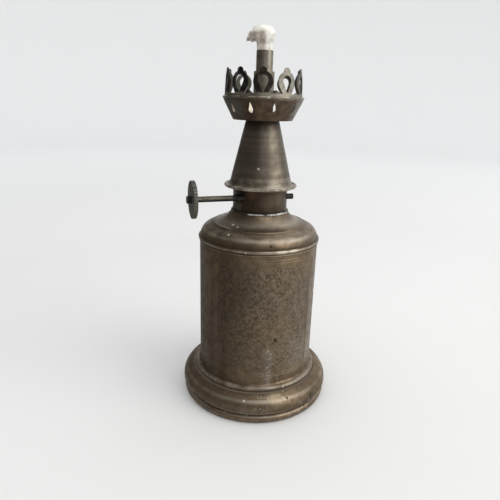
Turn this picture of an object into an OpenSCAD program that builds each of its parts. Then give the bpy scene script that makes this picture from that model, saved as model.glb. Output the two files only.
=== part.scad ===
// Brass hand lamp with an absorbent reservoir, a round wick and a lift-off cone with a gallery
// All sizes are in millimetres, the lamp stands on z = 0 and its axis is the Z axis

/* [Foot] */
// Height of the foot, from the table to the bottom edge of the wall
foot_h = 16.8; // [16.4:0.1:22]
// How far the convex moulding stands out past the wall
foot_spread = 9.2; // [7:0.1:14]
// Radius of the convex moulding's section
moulding_r = 7.2; // [6:0.1:8]
// Radius of the lower rim bead's section
rim_bead_r = 2.2; // [1.6:0.1:2.4]
// Radius of the small upper bead's section
upper_bead_r = 1.5; // [1.2:0.1:1.6]

/* [Reservoir] */
// Outer diameter of the straight wall
body_d = 60.6; // [52:0.2:72]
// Height of the wall, from the foot to the seam bead
body_h = 69.4; // [55:0.1:95]
// Thickness of the brass sheet
sheet = 0.6; // [0.4:0.05:0.7]
// Height of the seam bead between wall and dome
seam_h = 1.6; // [1.2:0.1:2.4]
// How far the seam bead stands out past the wall
seam_out = 0.7; // [0.3:0.1:1]
// Radius of the dome's shoulder
shoulder_r = 5.8; // [4.5:0.1:6.4]
// Height of the dome's crease above the seam bead
crease_rise = 6.6; // [6:0.1:8]
// Height of the neck above the dome's crease
neck_rise = 6.5; // [5:0.1:9]
// Depth of the hollow curve between the crease and the neck
neck_sag = 1.2; // [0.6:0.1:1.6]
// Depth of the dome's skirt inside the wall
skirt_h = 6; // [3:0.5:10]

/* [Burner] */
// How far the drum around the gear stands out past the screw thread
collar_step = 1.7; // [1.6:0.1:3]
// Height of the drum
collar_h = 14.9; // [14:0.1:20]
// Crest diameter of the screw thread under the drum
thread_d = 23.8; // [22:0.1:23.9]
// Rise of the screw thread in one turn
thread_pitch = 1.5; // [1:0.1:1.8]
// Length of the threaded plug
spigot_h = 6.6; // [5:0.1:8]
// Thickness of the leather washer
gasket_t = 0.36; // [0.3:0.02:1]

/* [Wick raiser] */
// Height of the spindle's axis above the bottom of the drum
spindle_rise = 6.6; // [6.2:0.1:7]
// Diameter of the spindle
spindle_d = 2.8; // [2.4:0.1:3]
// Distance from the lamp's axis to the thumb wheel's middle plane
wheel_x = 35.5; // [30:0.1:45]
// Diameter of the thumb wheel
wheel_d = 18; // [14:0.5:22]
// Thickness of the thumb wheel
wheel_t = 1.7; // [1:0.1:2.5]
// How far the far end of the spindle stands out of the drum
stub_out = 1.4; // [0.5:0.1:6]
// Size of the gear teeth, their pitch divided by pi
gear_module = 0.4; // [0.38:0.01:0.42]
// How far the wick tube rises above its place in the photo
travel_up = 3; // [1:0.5:5]
// How far the wick tube goes down from its place in the photo
travel_down = 8; // [4:0.5:8]

/* [Wick tubes] */
// Outer diameter of the inner tube that carries the wick
wick_tube_d = 7.8; // [7:0.1:8]
// Outer diameter of the fixed guide tube
guide_tube_d = 9.7; // [9.6:0.1:10]
// Thickness of both tubes
tube_wall = 0.55; // [0.4:0.05:0.6]
// Height of the guide tube's top above the floor of the gallery
guide_rise = 21.7; // [12:0.1:30]
// Height of the inner tube's top above the guide tube
tube_rise = 9; // [8.5:0.1:14]
// Height of the wick's head above the inner tube
wick_head_h = 11; // [8:0.1:14]

/* [Cone and gallery] */
// How far the cone's lip hangs below the top of the drum
lip_drop = 3.8; // [3:0.1:5]
// Height of the cone from its lip to the gallery's floor
cone_h = 31.9; // [26:0.1:40]
// Outer diameter of the cone where it meets the gallery
cone_top_d = 16; // [15.4:0.1:18]
// Diameter of the gallery's flat floor
cup_floor_d = 28.6; // [26:0.1:32]
// Diameter of the gallery's wall just under its rim
cup_rim_d = 37.8; // [36:0.1:44]
// Height of the gallery's wall
cup_h = 9; // [7:0.1:14]
// Number of pierced leaves on the crown, and of drop-shaped holes below them
leaf_count = 10; // [6:1:10]
// Height of a leaf of the crown
leaf_h = 12.2; // [11.4:0.1:14]
// Width of a leaf of the crown
leaf_w = 8.9; // [7:0.1:9]
// Angle of the first leaf, as the gallery is turned in the photo
leaf_turn = -2; // [-18:1:18]

/* [Hidden] */
$fn = 96;

// Colours of the materials
brass = "#6f6352";
dark_brass = "#54493c";
black_steel = "#26241f";
solder = "#c9c6bb";
leather = "#3a2a1e";
felt = "#8c8478";
cotton = "#e6e0cf";

// Clearances
fit = 0.05;
running = 0.04;
play = 0.02;
cut = 0.5;

// Levels of the reservoir
body_r = body_d / 2;
wall_z = foot_h;
wall_top_z = wall_z + body_h;
seam_top_z = wall_top_z + seam_h;
crease_z = seam_top_z + crease_rise;
neck_z = crease_z + neck_rise;

// Foot
rest_flat = 0.15;
rim_inset = 2.8;
rim_c = [body_r + foot_spread - rim_inset, rim_bead_r - rest_flat];
rim_arc = [-140, 80];
moulding_rise = 2.7;
moulding_c = [body_r + foot_spread - moulding_r, 2 * rim_bead_r + moulding_rise];
edge_r = 0.7;
edge_c = [body_r + foot_spread - edge_r, moulding_c[1]];
edge_arc = [-70, -8];
upper_bead_out = 1;
upper_bead_c = [body_r + upper_bead_out, foot_h - upper_bead_r];
upper_bead_arc = [-60, 90];
low_groove_shift = [0.4, 1.05];
low_groove = rim_c + [0, rim_bead_r] + low_groove_shift;
high_groove_shift = [1.3, -1.6];
high_groove = upper_bead_c + high_groove_shift;
groove_side_w = 0.95;
moulding_end = acos((high_groove[0] + groove_side_w - moulding_c[0]) / moulding_r);
cove_r = 1.5;
cove_arc = 60;
cove_c = [body_r + cove_r, wall_z + cove_r * sin(cove_arc)];
socket_r = body_r - sheet - fit;
socket_h = 5.5;
wire_r = rim_bead_r - sheet - fit;
base_t = 0.6;
base_z = rim_c[1] - base_t / 2;
base_r = rim_c[0] - rim_bead_r - fit;

// Dome and neck
collar_r = thread_d / 2 + collar_step;
dome_inset = 0.3;
dome_r = body_r - dome_inset;
shoulder_arc = 65;
crease_inset = 6.6;
crease_r = dome_r - crease_inset;
crease_step = [0.35, 0.35];
neck_gap = 0.35;
neck_lip_r = collar_r + neck_gap;
flange_t = 0.3;
flange_z = neck_z + flange_t;
flange_out = 0.1;
flange_r = neck_lip_r + flange_out;
thread_gap = 0.15;
neck_bore_r = thread_d / 2 + thread_gap;
neck_wall_r = neck_lip_r - sheet - 2 * fit;
neck_depth = 6.6;
neck_bottom_z = flange_z - neck_depth;

// Screw thread
thread_r = thread_d / 2;
thread_depth = 0.6;
thread_core_r = thread_r - thread_depth;
thread_sink = 0.1;
thread_foot_w = 0.8;
thread_tip_w = 0.25;
thread_turns = 2.5;
thread_lead_in = 0.8;
thread_start_z = neck_bottom_z + thread_lead_in;

// Solder, felt and grille
solder_top_w = 0.3;
solder_foot_w = 0.5;
solder_slope = 0.1;
solder_drop = 0.25;
felt_r = socket_r - sheet - fit;
felt_gap = 0.8;
grille_gap = 1;
grille_z = seam_top_z + 3 * play;
grille_rows = 3;
grille_row_w = 6;
grille_first_r = 11;
grille_hole_r = 1;

// Gasket and burner
gasket_z = flange_z + play;
gasket_inset = 0.3;
gasket_gap = 0.2;
collar_z = gasket_z + gasket_t + play;
collar_top_z = collar_z + collar_h;
plate_t = 0.7;
spigot_wall = 1.1;
spigot_bore_r = thread_core_r - spigot_wall;
spigot_bottom_z = collar_z - spigot_h;

// Gear
spindle_r = spindle_d / 2;
spindle_z = collar_z + spindle_rise;
pinion_teeth = 8;
pinion_pitch_r = gear_module * pinion_teeth / 2;
tooth_pitch = gear_module * PI;
tooth_addendum = 0.3;
tooth_dedendum = 0.45;
tooth_h = tooth_addendum + tooth_dedendum;
tooth_foot_share = 0.5;
tooth_tip_share = 0.2;
tooth_foot_w = tooth_pitch * tooth_foot_share;
tooth_tip_w = tooth_pitch * tooth_tip_share;
tooth_sink = 0.23;
tooth_land = 0.06;
rack_w = 3;
pinion_w = rack_w;
rack_base = 0.45;
rack_root_y = -wick_tube_d / 2 - rack_base;
rack_seat = 0.4;
rack_pitch_y = rack_root_y - tooth_dedendum;
spindle_y = rack_pitch_y - pinion_pitch_r;
pinion_tip_r = pinion_pitch_r + tooth_addendum;
pinion_root_r = pinion_pitch_r - tooth_dedendum;
gear_reach = 2.2;
rack_bottom_z = spindle_z - travel_up - gear_reach;
rack_top_z = spindle_z + travel_down + gear_reach;
gland_gap = 0.15;
gland_r = pinion_tip_r + gland_gap;
gland_out = 0.9;
gland_depth = 3.2;
gland_out_x = collar_r + gland_out;
gland_in_x = collar_r - gland_depth;
stub_x = collar_r + stub_out;
ring_w = 1.2;
ring_r = pinion_tip_r;
rivet_r = 1.8;
rivet_h = 2.1;
wheel_notches = 40;
notch_r = 0.35;

// Tubes and wick
wick_tube_r = wick_tube_d / 2;
guide_tube_r = guide_tube_d / 2;
guide_bore_r = guide_tube_r - tube_wall;
wick_bore_r = wick_tube_r - tube_wall;
wick_r = wick_bore_r - fit;
guide_bottom_z = collar_z + plate_t;
slot_side_gap = 0.25;
slot_w = rack_w + 2 * slot_side_gap;
slot_front_gap = 0.3;
slot_reach = -rack_pitch_y + tooth_addendum + slot_front_gap;
slot_top_gap = 0.8;
slot_top_z = rack_top_z + travel_up + slot_top_gap;
tube_recess = 2;
wick_tube_bottom_z = spigot_bottom_z + tube_recess;
wick_tail_rise = 38;
wick_bottom_z = base_z + wick_tail_rise;

// Cone and gallery
cone_z = collar_top_z - lip_drop;
cup_z = cone_z + cone_h;
lip_roll_r = 0.7;
flare_r = 3;
flare_end = 255;
cone_foot_gap = 1.54;
cone_foot_r = collar_r + cone_foot_gap;
cone_foot_rise = 2.9;
cone_foot_z = cone_z + cone_foot_rise;
cone_top_r = cone_top_d / 2;
cone_slope = atan((cone_foot_r - cone_top_r) / (cup_z - cone_foot_z));
flare_c = [cone_foot_r + flare_r * cos(cone_slope), cone_foot_z + flare_r * sin(cone_slope)];
lip_c = [flare_c[0] + (flare_r - lip_roll_r / 2) * cos(flare_end), cone_z + lip_roll_r];
spring_t = 0.45;
spring_r = collar_r + fit;
spring_flange_t = 0.5;
spring_flange_w = 1.4;
spring_z = collar_top_z + play;
spring_bottom_z = cone_z + 1.6;
spring_h = spring_z + spring_flange_t - spring_bottom_z;
spring_slots = 8;
spring_slot_w = 1;
spring_slot_end = 0.6;
cup_t = 0.55;
seat_w = 0.7;
neck_inner_r = cone_top_r - seat_w;
cup_floor_r = cup_floor_d / 2;
cup_rim_r = cup_rim_d / 2;
cup_wall_z = cup_z + cup_h;
rim_h = 1.6;
rim_top_z = cup_wall_z + rim_h;
rim_roll_r = 0.55;
rim_roll_inset = 0.15;
crown_inset = 0.45;
crown_out_r = cup_rim_r - crown_inset;
crown_t = 0.5;
crown_band_h = 1.2;
crown_lean = 0.8;
seam_shift = -99;
seam_angle = leaf_turn + seam_shift;
seam_gap = 0.2;
leaf_tip_r = 1.5;
leaf_loop_r = leaf_w / 2;
leaf_loop_drop = 6.1;
leaf_loop_z = leaf_h - leaf_loop_drop;
leaf_shoulder = 26;
leaf_waist = [2.55, 1.4];
leaf_foot_w = 2.67;
eye_r = 2.2;
eye_z = leaf_loop_z + 0.6;
eye_bottom_r = 0.5;
eye_bottom_z = leaf_loop_z - 3.8;
eye_taper = asin((eye_r - eye_bottom_r) / (eye_z - eye_bottom_z));
flank_sink = 0.02;
punch_back = 4;
punch_l = 8;
hole_r = 1.2;
hole_h = 5;
hole_rise = 4.7;
hole_z = cup_z + hole_rise;
hole_taper = asin(hole_r / (hole_h - hole_r));
guide_top_z = cup_z + guide_rise;
tube_top_z = guide_top_z + tube_rise;

// Frayed head of the wick, which leans to one side and still passes through the gallery's floor
head_r = 4.9;
head_z = tube_top_z + wick_head_h - head_r;
head_root_h = 1;
head_gap = 0.3;
head_reach = neck_inner_r - head_gap;
head_lean = [-0.945, 0.327];
head_side_r = 4.4;
lobe_r = [3, 1.7];
lobe_drop = [0.6, 2.6];

// Points of an arc from one angle to another, in degrees
function arc_points(centre, radius, from, to, steps) =
    [for (i = [0:steps]) let (a = from + (to - from) * i / steps)
        [centre[0] + radius * cos(a), centre[1] + radius * sin(a)]];

// Unit normal on the right-hand side of the line from one point to the next
function side_normal(a, b) = let (d = (b - a) / norm(b - a)) [d[1], -d[0]];

// The outline moved inwards by the sheet's thickness
function inset_path(path, wall) =
    let (last = len(path) - 1)
    [for (i = [0:last])
        let (
            before = side_normal(path[max(i - 1, 0)], path[max(i, 1)]),
            after = side_normal(path[min(i, last - 1)], path[min(i + 1, last)])
        )
        path[i] - (before + after) * wall / (1 + before * after)];

// Hollow arc from one point to the next, on the left of their line by its sag
function hollow_arc(a, b, sag, steps) =
    let (
        outward = side_normal(a, b),
        half = norm(b - a) / 2,
        radius = (half * half / sag + sag) / 2,
        middle = atan2(-outward[1], -outward[0]),
        spread = asin(half / radius)
    )
    arc_points((a + b) / 2 + outward * (radius - sag), radius, middle + spread, middle - spread, steps);

function reversed(path) = [for (i = [len(path) - 1:-1:0]) path[i]];

// Sheet metal spun round the axis along an outline
module spun(path, wall) {
    rotate_extrude()
        polygon(concat(path, reversed(inset_path(path, wall))));
}

module ring(outer_r, inner_r, z, h) {
    translate([0, 0, z])
        difference() {
            cylinder(r = outer_r, h = h);
            translate([0, 0, -cut])
                cylinder(r = inner_r, h = h + 2 * cut);
        }
}

// A cylinder along X between two places
module rod_x(radius, from_x, to_x) {
    translate([from_x, 0, 0])
        rotate([0, 90, 0])
            cylinder(r = radius, h = to_x - from_x);
}

module at_spindle() {
    translate([0, spindle_y, spindle_z])
        children();
}

// Slot on the gear's side that lets the rack pass
module rack_slot(bottom_z, top_z) {
    translate([-slot_w / 2, -slot_reach, bottom_z])
        cube([slot_w, slot_reach, top_z - bottom_z]);
}

// Helical ridge with a tapered section, between two radii
module thread_ridge(foot_r, tip_r, turns) {
    per_turn = 36;
    count = turns * per_turn;
    section = [
        [foot_r, -thread_foot_w / 2], [tip_r, -thread_tip_w / 2],
        [tip_r, thread_tip_w / 2], [foot_r, thread_foot_w / 2]
    ];
    points = [for (i = [0:count], c = section)
        let (a = i * 360 / per_turn)
        [c[0] * cos(a), c[0] * sin(a), c[1] + thread_pitch * i / per_turn]];
    sides = [for (i = [0:count - 1], j = [0:3])
        let (a = 4 * i + j, b = 4 * i + (j + 1) % 4)
        each [[a, b, b + 4], [a, b + 4, a + 4]]];
    ends = [[3, 2, 1, 0], [for (j = [0:3]) 4 * count + j]];
    faces = concat(sides, ends);
    polyhedron(points, tip_r > foot_r ? faces : [for (f = faces) reversed(f)]);
}

// Reservoir

module foot_shell() {
    outline = concat(
        arc_points(rim_c, rim_bead_r, rim_arc[0], rim_arc[1], 14),
        [low_groove],
        arc_points(edge_c, edge_r, edge_arc[0], edge_arc[1], 5),
        arc_points(moulding_c, moulding_r, 0, moulding_end, 14),
        [high_groove],
        arc_points(upper_bead_c, upper_bead_r, upper_bead_arc[0], upper_bead_arc[1], 8),
        [[socket_r, foot_h], [socket_r, foot_h + socket_h]]
    );
    color(brass)
        difference() {
            spun(outline, sheet);
            translate([0, 0, -cut])
                cylinder(r = rim_c[0] + rim_bead_r, h = cut);
        }
}

module foot_wire() {
    color(dark_brass)
        rotate_extrude()
            translate(rim_c)
                circle(r = wire_r, $fn = 32);
}

module base_plate() {
    color(dark_brass)
        translate([0, 0, base_z])
            cylinder(r = base_r, h = base_t);
}

module body_wall() {
    color(brass)
        rotate_extrude()
            polygon(concat(
                [[body_r - sheet, wall_z]],
                arc_points(cove_c, cove_r, 180 + cove_arc, 180, 7),
                [[body_r, wall_top_z], [body_r - sheet, wall_top_z]]
            ));
}

module seam_bead() {
    color(brass)
        rotate_extrude()
            intersection() {
                translate([body_r - sheet, wall_top_z])
                    square([sheet + seam_out, seam_h]);
                union() {
                    translate([body_r - sheet, wall_top_z])
                        square([sheet, seam_h]);
                    translate([body_r + seam_out - seam_h / 2, wall_top_z + seam_h / 2])
                        circle(r = seam_h / 2, $fn = 32);
                }
            }
}

module shoulder_dome() {
    outline = concat(
        [[socket_r, seam_top_z - skirt_h], [socket_r, seam_top_z]],
        arc_points([dome_r - shoulder_r, seam_top_z], shoulder_r, 0, shoulder_arc, 10),
        [[crease_r, crease_z] + [crease_step[0], 0]],
        hollow_arc([crease_r, crease_z + crease_step[1]], [neck_lip_r, neck_z], neck_sag, 8)
    );
    color(brass)
        spun(outline, sheet);
}

module neck_ring() {
    color(dark_brass) {
        ring(neck_wall_r, neck_bore_r, neck_bottom_z, neck_depth);
        ring(flange_r, neck_bore_r, neck_z, flange_t);
        translate([0, 0, thread_start_z + thread_pitch / 2])
            thread_ridge(neck_bore_r + thread_sink, neck_bore_r - thread_depth, thread_turns);
    }
}

module neck_solder() {
    color(solder)
        rotate_extrude()
            polygon([
                [flange_r + play, neck_z],
                [flange_r + play, flange_z],
                [flange_r + solder_top_w, flange_z - solder_slope],
                [flange_r + solder_foot_w, neck_z - solder_drop]
            ]);
}

module felt_filling() {
    color(felt)
        ring(felt_r, wick_r + felt_gap, base_z + base_t + play, seam_top_z - base_z - base_t);
}

module filling_grille() {
    color(dark_brass)
        difference() {
            ring(felt_r, wick_r + grille_gap, grille_z, sheet);
            for (row = [1:grille_rows], k = [1:6 * row])
                rotate([0, 0, k * 60 / row])
                    translate([grille_first_r + grille_row_w * (row - 1), 0, grille_z - cut])
                        cylinder(r = grille_hole_r, h = sheet + 2 * cut);
        }
}

module gasket() {
    color(leather)
        ring(collar_r - gasket_inset, thread_r + gasket_gap, gasket_z, gasket_t);
}

// Burner

module burner_collar() {
    color(dark_brass)
        difference() {
            ring(collar_r, collar_r - sheet, collar_z, collar_h);
            at_spindle() {
                rod_x(gland_r + play, -collar_r - cut, 0);
                rod_x(spindle_r + running, 0, collar_r + cut);
            }
        }
}

module burner_top() {
    color(dark_brass)
        difference() {
            ring(collar_r - sheet - play, guide_tube_r + play, collar_top_z - plate_t, plate_t);
            rack_slot(collar_top_z - plate_t - cut, collar_top_z + cut);
        }
}

module burner_spigot() {
    color(dark_brass) {
        difference() {
            ring(collar_r - sheet - play, guide_bore_r, collar_z, plate_t);
            rack_slot(collar_z - cut, collar_z + plate_t + cut);
        }
        ring(thread_core_r, spigot_bore_r, spigot_bottom_z, spigot_h);
        translate([0, 0, thread_start_z])
            thread_ridge(thread_core_r - thread_sink, thread_r, thread_turns);
    }
}

module guide_tube() {
    color(brass)
        difference() {
            ring(guide_tube_r, guide_bore_r, guide_bottom_z, guide_top_z - guide_bottom_z);
            rack_slot(guide_bottom_z - cut, slot_top_z);
        }
}

module spindle_gland() {
    color(black_steel)
        at_spindle()
            difference() {
                rod_x(gland_r, -gland_out_x, -gland_in_x);
                rod_x(spindle_r + running, -gland_out_x - cut, -gland_in_x + cut);
            }
}

// Wick raiser

module pinion_profile() {
    circle(r = pinion_root_r);
    for (k = [0:pinion_teeth - 1])
        rotate(k * 360 / pinion_teeth)
            polygon([
                [pinion_root_r - tooth_sink, -tooth_foot_w / 2],
                [pinion_root_r + tooth_land, -tooth_foot_w / 2],
                [pinion_tip_r, -tooth_tip_w / 2],
                [pinion_tip_r, tooth_tip_w / 2],
                [pinion_root_r + tooth_land, tooth_foot_w / 2],
                [pinion_root_r - tooth_sink, tooth_foot_w / 2]
            ]);
}

module spindle() {
    color(brass)
        at_spindle() {
            rod_x(spindle_r, -wheel_x - wheel_t / 2, -pinion_w / 2);
            rod_x(spindle_r, pinion_w / 2, stub_x);
            translate([-pinion_w / 2, 0, 0])
                rotate([90, 0, 90])
                    linear_extrude(height = pinion_w)
                        pinion_profile();
        }
}

module spindle_ring() {
    color(dark_brass)
        at_spindle()
            difference() {
                rod_x(ring_r, -gland_in_x + play, -gland_in_x + play + ring_w);
                rod_x(spindle_r + play, -gland_in_x - cut, -gland_in_x + ring_w + cut);
            }
}

module thumb_wheel() {
    color(dark_brass)
        at_spindle()
            difference() {
                rod_x(wheel_d / 2, -wheel_x - wheel_t / 2, -wheel_x + wheel_t / 2);
                rod_x(spindle_r + play, -wheel_x - wheel_t, -wheel_x + wheel_t);
                for (k = [0:wheel_notches - 1])
                    rotate([k * 360 / wheel_notches, 0, 0])
                        translate([0, 0, wheel_d / 2])
                            rod_x(notch_r, -wheel_x - wheel_t, -wheel_x + wheel_t);
            }
}

module wheel_rivet() {
    color(black_steel)
        at_spindle()
            rod_x(rivet_r, -wheel_x - wheel_t / 2 - rivet_h, -wheel_x - wheel_t / 2);
}

// Wick and its carrier

module wick_tube() {
    color(brass)
        ring(wick_tube_r, wick_bore_r, wick_tube_bottom_z, tube_top_z - wick_tube_bottom_z);
}

module rack_tooth() {
    polygon([
        [rack_base / 2, tooth_foot_w / 2],
        [0, tooth_foot_w / 2],
        [-tooth_h, tooth_tip_w / 2],
        [-tooth_h, -tooth_tip_w / 2],
        [0, -tooth_foot_w / 2],
        [rack_base / 2, -tooth_foot_w / 2]
    ]);
}

module wick_rack() {
    teeth = ceil((rack_top_z - rack_bottom_z) / tooth_pitch / 2);
    color(dark_brass)
        difference() {
            translate([-rack_w / 2, 0, 0])
                rotate([90, 0, 90])
                    linear_extrude(height = rack_w)
                        intersection() {
                            translate([rack_root_y - 2 * tooth_h, rack_bottom_z])
                                square([-rack_root_y + 2 * tooth_h, rack_top_z - rack_bottom_z]);
                            union() {
                                translate([rack_root_y, rack_bottom_z])
                                    square([rack_base + rack_seat, rack_top_z - rack_bottom_z]);
                                for (k = [-teeth:teeth])
                                    translate([rack_root_y, spindle_z + (k + 0.5) * tooth_pitch])
                                        rack_tooth();
                            }
                        }
            translate([0, 0, rack_bottom_z - cut])
                cylinder(r = wick_tube_r + play / 2, h = rack_top_z - rack_bottom_z + 2 * cut);
        }
}

module head_lobe(k) {
    out = (head_reach - lobe_r[k]) / norm(head_lean);
    translate([head_lean[0] * out, head_lean[1] * out, head_z - lobe_drop[k]])
        sphere(r = lobe_r[k], $fn = 24);
}

module wick_head() {
    hull() {
        translate([0, 0, tube_top_z])
            cylinder(r = wick_r, h = head_root_h, $fn = 24);
        translate([0, 0, head_z])
            sphere(r = head_r, $fn = 24);
    }
    hull() {
        translate([0, 0, head_z])
            sphere(r = head_side_r, $fn = 24);
        head_lobe(0);
        head_lobe(1);
    }
}

module wick() {
    color(cotton) {
        translate([0, 0, wick_bottom_z])
            cylinder(r = wick_r, h = tube_top_z - wick_bottom_z + cut);
        wick_head();
    }
}

// Cone and gallery

module cone() {
    color(brass) {
        spun(
            concat(
                arc_points(flare_c, flare_r, flare_end, 180 + cone_slope, 7),
                [[cone_top_r, cup_z]]
            ),
            sheet
        );
        rotate_extrude()
            translate(lip_c)
                circle(r = lip_roll_r, $fn = 32);
        ring(cone_top_r - play, neck_inner_r, cup_z - sheet, sheet);
    }
}

module socket_spring() {
    color(dark_brass) {
        difference() {
            ring(spring_r + spring_t, spring_r, spring_bottom_z, spring_h);
            for (k = [0:spring_slots - 1])
                rotate([0, 0, k * 360 / spring_slots])
                    translate([spring_r - cut, -spring_slot_w / 2, cone_z])
                        cube([spring_t + 2 * cut, spring_slot_w, spring_z - cone_z - spring_slot_end]);
        }
        ring(spring_r + spring_t, collar_r - spring_flange_w, spring_z, spring_flange_t);
    }
}

// Corner that lies a little inside a circle, where a straight flank starts
function flank_start(radius, z, angle) = (radius - flank_sink) * [cos(angle), sin(angle)] + [0, z];

function mirrored(point) = [-point[0], point[1]];

// Drop-shaped outline, round below and pointed above
module drop(radius, height) {
    flank = flank_start(radius, 0, hole_taper);
    circle(r = radius);
    polygon([mirrored(flank), flank, [0, height - radius]]);
}

module each_leaf(offset_angle) {
    for (k = [0:leaf_count - 1])
        rotate([0, 0, leaf_turn + offset_angle + k * 360 / leaf_count])
            children();
}

module gallery_cup() {
    color(brass)
        difference() {
            union() {
                spun(
                    [
                        [neck_inner_r, cup_z],
                        [cup_floor_r, cup_z],
                        [cup_rim_r, cup_wall_z],
                        [cup_rim_r, rim_top_z]
                    ],
                    cup_t
                );
                ring(cup_rim_r, crown_out_r - crown_t, rim_top_z - cup_t, cup_t);
                rotate_extrude()
                    translate([cup_rim_r - rim_roll_inset, rim_top_z - rim_roll_r])
                        circle(r = rim_roll_r, $fn = 32);
            }
            each_leaf(180 / leaf_count)
                translate([cup_rim_r - punch_l + cut, 0, hole_z])
                    rotate([90, 0, 90])
                        linear_extrude(height = punch_l)
                            drop(hole_r, hole_h);
        }
}

// One pierced leaf with a round tip, standing on the crown's band
module leaf_profile() {
    shoulder = flank_start(leaf_loop_r, leaf_loop_z, -leaf_shoulder);
    eye_top = flank_start(eye_r, eye_z, -eye_taper);
    eye_end = flank_start(eye_bottom_r, eye_bottom_z, -eye_taper);
    difference() {
        union() {
            translate([0, leaf_h - leaf_tip_r])
                circle(r = leaf_tip_r);
            translate([0, leaf_loop_z])
                circle(r = leaf_loop_r);
            polygon([
                mirrored(shoulder),
                mirrored(leaf_waist),
                [-leaf_foot_w, 0],
                [leaf_foot_w, 0],
                leaf_waist,
                shoulder
            ]);
        }
        translate([0, eye_z])
            circle(r = eye_r);
        translate([0, eye_bottom_z])
            circle(r = eye_bottom_r);
        polygon([
            mirrored(eye_top),
            mirrored(eye_end),
            eye_end,
            eye_top
        ]);
    }
}

module gallery_crown() {
    color(dark_brass)
        difference() {
            intersection() {
                translate([0, 0, rim_top_z])
                    difference() {
                        cylinder(r1 = crown_out_r, r2 = crown_out_r - crown_lean, h = leaf_h);
                        translate([0, 0, -cut])
                            cylinder(
                                r1 = crown_out_r - crown_t + crown_lean * cut / leaf_h,
                                r2 = crown_out_r - crown_t - crown_lean - crown_lean * cut / leaf_h,
                                h = leaf_h + 2 * cut
                            );
                    }
                union() {
                    translate([0, 0, rim_top_z])
                        cylinder(r = cup_rim_r, h = crown_band_h);
                    each_leaf(0)
                        translate([crown_out_r - punch_back, 0, rim_top_z])
                            rotate([90, 0, 90])
                                linear_extrude(height = punch_l)
                                    leaf_profile();
                }
            }
            rotate([0, 0, seam_angle])
                translate([crown_out_r - punch_back, -seam_gap / 2, rim_top_z - cut])
                    cube([punch_l, seam_gap, crown_band_h + 2 * cut]);
        }
}

foot_shell();
foot_wire();
base_plate();
body_wall();
seam_bead();
shoulder_dome();
neck_ring();
neck_solder();
felt_filling();
filling_grille();
gasket();
burner_collar();
burner_top();
burner_spigot();
guide_tube();
spindle_gland();
spindle();
spindle_ring();
thumb_wheel();
wheel_rivet();
wick_tube();
wick_rack();
wick();
cone();
socket_spring();
gallery_cup();
gallery_crown();
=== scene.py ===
import math
import random

import bmesh
import bpy
from mathutils import Matrix, Vector, noise


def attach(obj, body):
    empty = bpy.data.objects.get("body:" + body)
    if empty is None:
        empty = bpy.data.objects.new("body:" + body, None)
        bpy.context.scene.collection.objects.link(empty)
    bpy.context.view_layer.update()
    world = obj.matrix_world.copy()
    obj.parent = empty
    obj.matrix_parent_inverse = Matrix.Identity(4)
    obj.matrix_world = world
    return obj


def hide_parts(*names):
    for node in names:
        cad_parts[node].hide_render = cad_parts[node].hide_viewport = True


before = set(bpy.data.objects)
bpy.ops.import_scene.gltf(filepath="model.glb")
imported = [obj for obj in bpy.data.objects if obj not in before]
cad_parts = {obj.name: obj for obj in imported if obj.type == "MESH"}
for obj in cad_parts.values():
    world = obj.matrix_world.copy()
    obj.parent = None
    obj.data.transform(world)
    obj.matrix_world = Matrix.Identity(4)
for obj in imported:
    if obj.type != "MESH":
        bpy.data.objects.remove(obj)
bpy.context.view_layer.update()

MM = 0.001
rng = random.Random(7)
noise.seed_set(7)

# Places on the lamp, in millimetres and degrees, as in the part's source
WALL_R = 30.3
FOOT_TOP_Z = 16.8
WALL_TOP_Z = 86.2
NECK_Z = 100.9
NECK_R = 14.0
CUP_RIM_R = 18.9
CUP_WALL_Z = 153.6
CUP_SLOPE = (18.9 - 14.3) / 9.0
TUBE_TOP_Z = 175.3
HEAD_TOP_Z = 186.3
TUBE_BORE_R = 3.35
PANEL_MID = -101.0
PANEL_HALF = 51.0
PANEL_LOW_Z = 21.5
PANEL_HIGH_Z = 83.0
LEAN = Vector((-0.945, 0.327, 0.0))

# Camera, worked out from the rings' ellipses in the photo
PHOTO_PX = 500
FOCAL_PX = 460.0
CAMERA_PITCH = math.radians(18.08)
CAMERA_ROLL = math.radians(1.66)
CAMERA_YAW = math.radians(1.06)
CAMERA_AZIMUTH = math.radians(19.1)
CAMERA_DISTANCE = 229.8
CAMERA_HEIGHT = 153.6
SENSOR = 36.0


def turned(v, angle=CAMERA_AZIMUTH):
    """From the camera's upright frame to the lamp's frame."""
    c, s = math.cos(angle), math.sin(angle)
    return Vector((v[0] * c + v[1] * s, -v[0] * s + v[1] * c, v[2]))


def make_camera():
    forward = Vector((
        -math.sin(CAMERA_YAW) * math.cos(CAMERA_PITCH),
        math.cos(CAMERA_YAW) * math.cos(CAMERA_PITCH),
        -math.sin(CAMERA_PITCH),
    ))
    level = Vector((math.cos(CAMERA_YAW), math.sin(CAMERA_YAW), 0.0))
    upright = level.cross(forward)
    right = level * math.cos(CAMERA_ROLL) + upright * math.sin(CAMERA_ROLL)
    up = upright * math.cos(CAMERA_ROLL) - level * math.sin(CAMERA_ROLL)
    right, up, back = turned(right), turned(up), -turned(forward)
    data = bpy.data.cameras.new("camera")
    data.sensor_width = SENSOR
    data.lens = SENSOR * FOCAL_PX / PHOTO_PX
    data.clip_start = 0.01
    camera = bpy.data.objects.new("camera", data)
    place = turned(Vector((0.0, -CAMERA_DISTANCE, CAMERA_HEIGHT))) * MM
    rows = [[right[i], up[i], back[i], place[i]] for i in range(3)] + [[0, 0, 0, 1]]
    camera.matrix_world = Matrix(rows)
    bpy.context.scene.collection.objects.link(camera)
    bpy.context.scene.camera = camera


# Materials


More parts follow.
